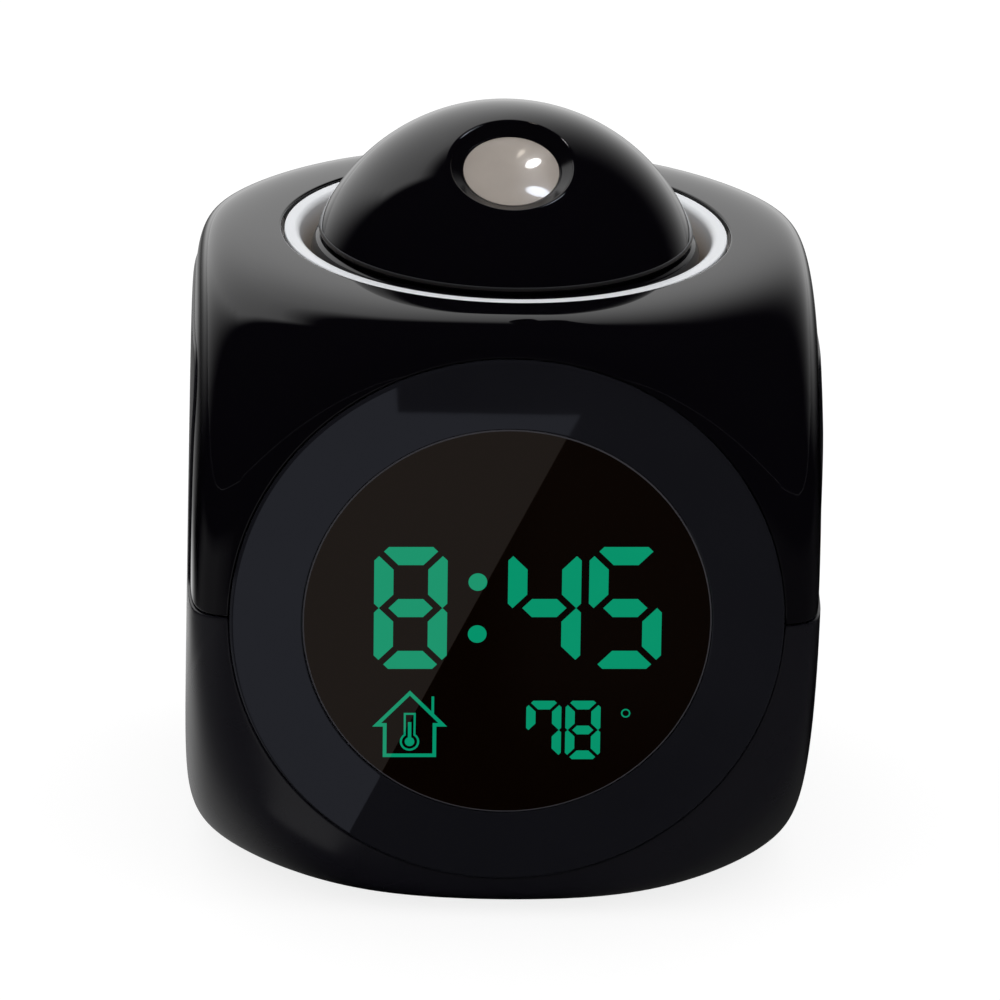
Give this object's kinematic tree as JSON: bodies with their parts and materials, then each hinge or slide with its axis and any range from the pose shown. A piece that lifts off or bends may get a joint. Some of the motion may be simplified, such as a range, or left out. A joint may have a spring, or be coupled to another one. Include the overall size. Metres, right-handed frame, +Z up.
{
  "type": "projection alarm clock",
  "caption": "Cube-shaped alarm clock with a round front display and a domed projector head that presses down for snooze and swivels; battery bay below, keys on the back.",
  "frame": {"origin": "middle of the footprint, on the plane that the four feet stand on", "axes": "+Z up, front with the round display towards -Y, +X to the right seen from the front"},
  "size_m": [0.082, 0.0792, 0.0978],
  "materials": {
    "satin_black": "satin",
    "gloss_black": "gloss",
    "bezel_black": "gloss",
    "smoked_window": "gloss",
    "black_plastic": "matte",
    "lcd_glass": "gloss",
    "light_guide": "satin",
    "zebra_rubber": "matte",
    "circuit_board": "satin",
    "screw_steel": "satin",
    "spring_steel": "satin",
    "ribbon_grey": "satin",
    "cone_paper": "matte",
    "contact_brass": "satin",
    "key_black": "satin",
    "foot_rubber": "matte",
    "ring_white": "satin",
    "carriage_grey": "satin",
    "washer_fibre": "matte",
    "dome_black": "gloss",
    "lens_glass": "gloss",
    "led_red": "gloss"
  },
  "bodies": {
    "housing": {"base_housing": "satin_black", "hood": "gloss_black", "bezel_ring": "bezel_black", "display_window": "smoked_window", "lcd_frame": "black_plastic", "lcd_panel": "lcd_glass", "backlight_panel": "light_guide", "zebra_strip": "zebra_rubber", "main_board": "circuit_board", "board_chips": "black_plastic", "board_screws": "screw_steel", "ribbon_cable": "ribbon_grey", "button_board": "circuit_board", "tact_switches": "black_plastic", "speaker_basket": "screw_steel", "speaker_cone": "cone_paper", "speaker_magnet": "screw_steel", "speaker_clamp": "black_plastic", "speaker_screws": "screw_steel", "battery_tray": "black_plastic", "battery_contacts": "spring_steel", "battery_springs": "spring_steel", "dc_socket": "black_plastic", "socket_contact": "contact_brass", "switch_body": "screw_steel", "feet": "foot_rubber", "case_screws": "screw_steel", "light_ring": "ring_white", "head_well": "black_plastic", "well_screws": "screw_steel", "snooze_board": "circuit_board", "snooze_switch": "black_plastic", "snooze_screws": "screw_steel"},
    "door": {"battery_door": "satin_black"},
    "button_1": {"button_1": "key_black"},
    "button_2": {"button_2": "key_black"},
    "button_3": {"button_3": "key_black"},
    "button_4": {"button_4": "key_black"},
    "button_5": {"button_5": "key_black"},
    "slide_knob": {"switch_knob": "key_black"},
    "carriage": {"press_carriage": "carriage_grey", "carriage_clip": "spring_steel", "friction_washer": "washer_fibre", "press_spring": "spring_steel"},
    "head": {"dome_shell": "dome_black", "dome_skirt": "dome_black", "swivel_washer": "screw_steel", "swivel_screw": "screw_steel", "lens_bezel": "black_plastic", "projector_lens": "lens_glass", "projector_tube": "black_plastic", "condenser_lens": "lens_glass", "projector_lcd": "lcd_glass", "projector_led": "led_red", "led_board": "circuit_board", "projector_mount": "black_plastic"}
  },
  "joints": [
    {"name": "door_hinge", "type": "hinge", "parent": "housing", "child": "door", "pos_m": [0, 0.01625, 0.0017], "axis": [1, 0, 0], "range_deg": [0, 80]},
    {"name": "button_1_press", "type": "slide", "parent": "housing", "child": "button_1", "axis": [0, 1, 0], "range_m": [-0.0008, 0], "stiffness_N_per_m": 400, "springref_m": 0.001},
    {"name": "button_2_press", "type": "slide", "parent": "housing", "child": "button_2", "axis": [0, 1, 0], "range_m": [-0.0008, 0], "stiffness_N_per_m": 400, "springref_m": 0.001},
    {"name": "button_3_press", "type": "slide", "parent": "housing", "child": "button_3", "axis": [0, 1, 0], "range_m": [-0.0008, 0], "stiffness_N_per_m": 400, "springref_m": 0.001},
    {"name": "button_4_press", "type": "slide", "parent": "housing", "child": "button_4", "axis": [0, 1, 0], "range_m": [-0.0008, 0], "stiffness_N_per_m": 400, "springref_m": 0.001},
    {"name": "button_5_press", "type": "slide", "parent": "housing", "child": "button_5", "axis": [0, 1, 0], "range_m": [-0.0008, 0], "stiffness_N_per_m": 400, "springref_m": 0.001},
    {"name": "switch_slide", "type": "slide", "parent": "housing", "child": "slide_knob", "axis": [1, 0, 0], "range_m": [0, 0.0026]},
    {"name": "head_press", "type": "slide", "parent": "housing", "child": "carriage", "axis": [0, 0, 1], "range_m": [-0.0015, 0], "stiffness_N_per_m": 1500, "springref_m": 0.001, "deforming": ["press_spring"]},
    {"name": "head_swivel", "type": "hinge", "parent": "carriage", "child": "head", "pos_m": [0, 0, 0.0809], "axis": [0, 0, 1], "range_deg": [-90, 90]}
  ]
}
